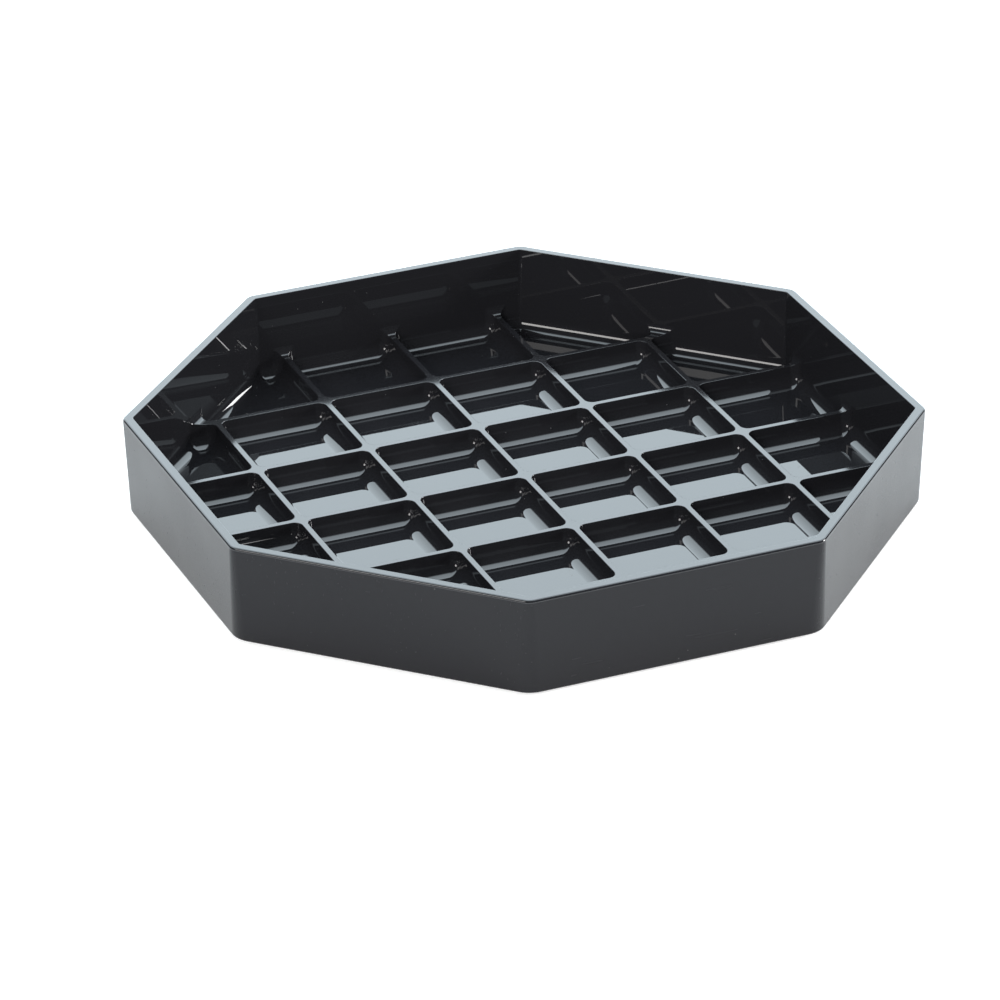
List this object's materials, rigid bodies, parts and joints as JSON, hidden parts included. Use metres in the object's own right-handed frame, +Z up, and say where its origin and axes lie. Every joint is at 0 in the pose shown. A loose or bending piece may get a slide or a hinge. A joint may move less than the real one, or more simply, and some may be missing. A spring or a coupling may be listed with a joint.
{
  "type": "octagonal drip tray",
  "caption": "Octagonal countertop drip tray with an integral square rib grid that holds a cup or dispenser above spills.",
  "frame": {"origin": "centre of the octagon, on the plane that the four rubber feet stand on", "axes": "+Z up out of the tray; ribs run along X and Y; flats of the octagon face +X, -X, +Y and -Y; front is -Y"},
  "size_m": [0.1568, 0.1568, 0.022],
  "materials": {
    "black_plastic": "injection-moulded black plastic, mirror gloss inside and in the cells, satin on the outer faces, the rim and the rib tops",
    "black_rubber": "matte black rubber"
  },
  "bodies": {
    "root": {"tray": "black_plastic", "foot_front_left": "black_rubber", "foot_front_right": "black_rubber", "foot_rear_left": "black_rubber", "foot_rear_right": "black_rubber"}
  },
  "joints": []
}
